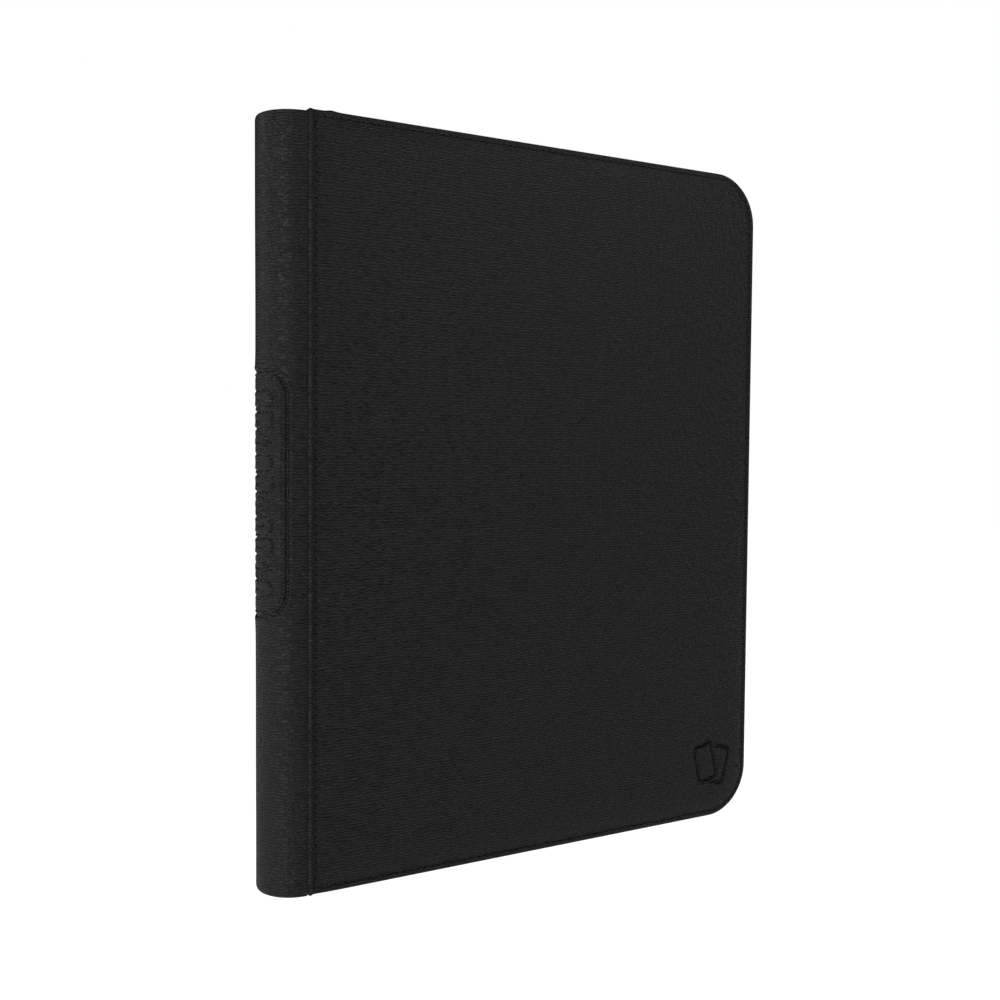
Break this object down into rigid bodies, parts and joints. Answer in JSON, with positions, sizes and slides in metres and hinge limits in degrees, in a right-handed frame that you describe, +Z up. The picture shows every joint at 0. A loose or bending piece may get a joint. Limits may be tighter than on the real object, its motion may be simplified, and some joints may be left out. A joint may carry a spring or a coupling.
{
  "type": "trading card binder",
  "caption": "Zip-round binder for trading cards: padded leatherette covers on a half-round spine, pocket leaves bound inside, closed by a coil zip.",
  "frame": {"origin": "middle of the bounding box at its foot, where the closed binder stands", "axes": "+Z up along the spine, +X from the spine to the fore edge, -Y out of the front cover"},
  "size_m": [0.28, 0.034, 0.35],
  "materials": {
    "leatherette": "satin",
    "foam_padding": "matte",
    "greyboard": "matte",
    "lining_cloth": "matte",
    "zip_tape": "matte",
    "zip_coil": "satin",
    "dark_metal": "gloss",
    "pull_rubber": "matte",
    "binding_plastic": "matte",
    "leaf_film": "gloss"
  },
  "bodies": {
    "spine": {"spine_leather": "leatherette", "spine_foam": "foam_padding", "spine_board": "greyboard", "spine_lining": "lining_cloth", "spine_facing_top": "leatherette", "spine_facing_bottom": "leatherette", "binding_bar_front": "binding_plastic", "binding_bar_back": "binding_plastic", "leaf_root_block": "leaf_film", "binding_back_plate": "binding_plastic", "binding_rivet_1": "dark_metal", "binding_rivet_2": "dark_metal", "binding_rivet_3": "dark_metal", "binding_rivet_4": "dark_metal"},
    "front_cover": {"front_cover_leather": "leatherette", "front_cover_foam": "foam_padding", "front_cover_board": "greyboard", "front_cover_lining": "lining_cloth", "front_hinge_strip": "lining_cloth", "front_zip_tape": "zip_tape", "front_zip_coil": "zip_coil", "front_zip_stop_top": "dark_metal", "front_zip_stop_bottom": "dark_metal", "front_zip_end_tab_top": "leatherette", "front_zip_end_tab_bottom": "leatherette"},
    "back_cover": {"back_cover_leather": "leatherette", "back_cover_foam": "foam_padding", "back_cover_board": "greyboard", "back_cover_lining": "lining_cloth", "back_hinge_strip": "lining_cloth", "back_zip_tape": "zip_tape", "back_zip_coil": "zip_coil", "back_zip_stop_top": "dark_metal", "back_zip_stop_bottom": "dark_metal", "back_zip_end_tab_top": "leatherette", "back_zip_end_tab_bottom": "leatherette"},
    "zip_slider": {"zip_slider_body": "dark_metal", "zip_slider_crown": "dark_metal"},
    "zip_pull": {"zip_pull_link": "dark_metal", "zip_pull_grip": "pull_rubber"},
    "leaf_01": {"leaf_01": "leaf_film"},
    "leaf_02": {"leaf_02": "leaf_film"},
    "leaf_03": {"leaf_03": "leaf_film"},
    "leaf_04": {"leaf_04": "leaf_film"},
    "leaf_05": {"leaf_05": "leaf_film"},
    "leaf_06": {"leaf_06": "leaf_film"},
    "leaf_07": {"leaf_07": "leaf_film"},
    "leaf_08": {"leaf_08": "leaf_film"},
    "leaf_09": {"leaf_09": "leaf_film"},
    "leaf_10": {"leaf_10": "leaf_film"},
    "leaf_11": {"leaf_11": "leaf_film"},
    "leaf_12": {"leaf_12": "leaf_film"},
    "leaf_13": {"leaf_13": "leaf_film"},
    "leaf_14": {"leaf_14": "leaf_film"},
    "leaf_15": {"leaf_15": "leaf_film"},
    "leaf_16": {"leaf_16": "leaf_film"},
    "leaf_17": {"leaf_17": "leaf_film"},
    "leaf_18": {"leaf_18": "leaf_film"},
    "leaf_19": {"leaf_19": "leaf_film"},
    "leaf_20": {"leaf_20": "leaf_film"}
  },
  "joints": [
    {"name": "front_cover_hinge", "type": "hinge", "parent": "spine", "child": "front_cover", "pos_m": [-0.123, -0.017, 0.175], "axis": [0, 0, -1], "range_deg": [0, 90]},
    {"name": "back_cover_hinge", "type": "hinge", "parent": "spine", "child": "back_cover", "pos_m": [-0.123, 0.017, 0.175], "axis": [0, 0, 1], "range_deg": [0, 90]},
    {"name": "leaf_01_crease", "type": "hinge", "parent": "spine", "child": "leaf_01", "pos_m": [-0.116, -0.00903, 0.175], "axis": [0, 0, -1], "range_deg": [0, 89.2]},
    {"name": "leaf_02_crease", "type": "hinge", "parent": "spine", "child": "leaf_02", "pos_m": [-0.11505, -0.00808, 0.175], "axis": [0, 0, -1], "range_deg": [0, 87.4]},
    {"name": "leaf_03_crease", "type": "hinge", "parent": "spine", "child": "leaf_03", "pos_m": [-0.1141, -0.00713, 0.175], "axis": [0, 0, -1], "range_deg": [0, 85.6]},
    {"name": "leaf_04_crease", "type": "hinge", "parent": "spine", "child": "leaf_04", "pos_m": [-0.11315, -0.00617, 0.175], "axis": [0, 0, -1], "range_deg": [0, 83.8]},
    {"name": "leaf_05_crease", "type": "hinge", "parent": "spine", "child": "leaf_05", "pos_m": [-0.1122, -0.00522, 0.175], "axis": [0, 0, -1], "range_deg": [0, 82]},
    {"name": "leaf_06_crease", "type": "hinge", "parent": "spine", "child": "leaf_06", "pos_m": [-0.11125, -0.00428, 0.175], "axis": [0, 0, -1], "range_deg": [0, 80.2]},
    {"name": "leaf_07_crease", "type": "hinge", "parent": "spine", "child": "leaf_07", "pos_m": [-0.1103, -0.00332, 0.175], "axis": [0, 0, -1], "range_deg": [0, 78.4]},
    {"name": "leaf_08_crease", "type": "hinge", "parent": "spine", "child": "leaf_08", "pos_m": [-0.10935, -0.00237, 0.175], "axis": [0, 0, -1], "range_deg": [0, 76.6]},
    {"name": "leaf_09_crease", "type": "hinge", "parent": "spine", "child": "leaf_09", "pos_m": [-0.1084, -0.00143, 0.175], "axis": [0, 0, -1], "range_deg": [0, 74.8]},
    {"name": "leaf_10_crease", "type": "hinge", "parent": "spine", "child": "leaf_10", "pos_m": [-0.10745, -0.00047, 0.175], "axis": [0, 0, -1], "range_deg": [0, 73]},
    {"name": "leaf_11_crease", "type": "hinge", "parent": "spine", "child": "leaf_11", "pos_m": [-0.10745, 0.00047, 0.175], "axis": [0, 0, 1], "range_deg": [0, 73]},
    {"name": "leaf_12_crease", "type": "hinge", "parent": "spine", "child": "leaf_12", "pos_m": [-0.1084, 0.00143, 0.175], "axis": [0, 0, 1], "range_deg": [0, 74.8]},
    {"name": "leaf_13_crease", "type": "hinge", "parent": "spine", "child": "leaf_13", "pos_m": [-0.10935, 0.00237, 0.175], "axis": [0, 0, 1], "range_deg": [0, 76.6]},
    {"name": "leaf_14_crease", "type": "hinge", "parent": "spine", "child": "leaf_14", "pos_m": [-0.1103, 0.00332, 0.175], "axis": [0, 0, 1], "range_deg": [0, 78.4]},
    {"name": "leaf_15_crease", "type": "hinge", "parent": "spine", "child": "leaf_15", "pos_m": [-0.11125, 0.00428, 0.175], "axis": [0, 0, 1], "range_deg": [0, 80.2]},
    {"name": "leaf_16_crease", "type": "hinge", "parent": "spine", "child": "leaf_16", "pos_m": [-0.1122, 0.00522, 0.175], "axis": [0, 0, 1], "range_deg": [0, 82]},
    {"name": "leaf_17_crease", "type": "hinge", "parent": "spine", "child": "leaf_17", "pos_m": [-0.11315, 0.00617, 0.175], "axis": [0, 0, 1], "range_deg": [0, 83.8]},
    {"name": "leaf_18_crease", "type": "hinge", "parent": "spine", "child": "leaf_18", "pos_m": [-0.1141, 0.00713, 0.175], "axis": [0, 0, 1], "range_deg": [0, 85.6]},
    {"name": "leaf_19_crease", "type": "hinge", "parent": "spine", "child": "leaf_19", "pos_m": [-0.11505, 0.00808, 0.175], "axis": [0, 0, 1], "range_deg": [0, 87.4]},
    {"name": "leaf_20_crease", "type": "hinge", "parent": "spine", "child": "leaf_20", "pos_m": [-0.116, 0.00903, 0.175], "axis": [0, 0, 1], "range_deg": [0, 89.2]},
    {"name": "zip_slide", "type": "slide", "parent": "back_cover", "child": "zip_slider", "axis": [1, 0, 0], "range_m": [0, 0.18]},
    {"name": "zip_pull_swing", "type": "hinge", "parent": "zip_slider", "child": "zip_pull", "pos_m": [-0.083, 0, 0.348], "axis": [0, 1, 0], "range_deg": [0, 170]}
  ],
  "couplings": [
    {"joint": "leaf_01_crease", "follows": "front_cover_hinge", "ratio": 0.98},
    {"joint": "leaf_02_crease", "follows": "front_cover_hinge", "ratio": 0.96},
    {"joint": "leaf_03_crease", "follows": "front_cover_hinge", "ratio": 0.94},
    {"joint": "leaf_04_crease", "follows": "front_cover_hinge", "ratio": 0.92},
    {"joint": "leaf_05_crease", "follows": "front_cover_hinge", "ratio": 0.9},
    {"joint": "leaf_06_crease", "follows": "front_cover_hinge", "ratio": 0.88},
    {"joint": "leaf_07_crease", "follows": "front_cover_hinge", "ratio": 0.86},
    {"joint": "leaf_08_crease", "follows": "front_cover_hinge", "ratio": 0.84},
    {"joint": "leaf_09_crease", "follows": "front_cover_hinge", "ratio": 0.82},
    {"joint": "leaf_10_crease", "follows": "front_cover_hinge", "ratio": 0.8},
    {"joint": "leaf_11_crease", "follows": "back_cover_hinge", "ratio": 0.8},
    {"joint": "leaf_12_crease", "follows": "back_cover_hinge", "ratio": 0.82},
    {"joint": "leaf_13_crease", "follows": "back_cover_hinge", "ratio": 0.84},
    {"joint": "leaf_14_crease", "follows": "back_cover_hinge", "ratio": 0.86},
    {"joint": "leaf_15_crease", "follows": "back_cover_hinge", "ratio": 0.88},
    {"joint": "leaf_16_crease", "follows": "back_cover_hinge", "ratio": 0.9},
    {"joint": "leaf_17_crease", "follows": "back_cover_hinge", "ratio": 0.92},
    {"joint": "leaf_18_crease", "follows": "back_cover_hinge", "ratio": 0.94},
    {"joint": "leaf_19_crease", "follows": "back_cover_hinge", "ratio": 0.96},
    {"joint": "leaf_20_crease", "follows": "back_cover_hinge", "ratio": 0.98}
  ]
}
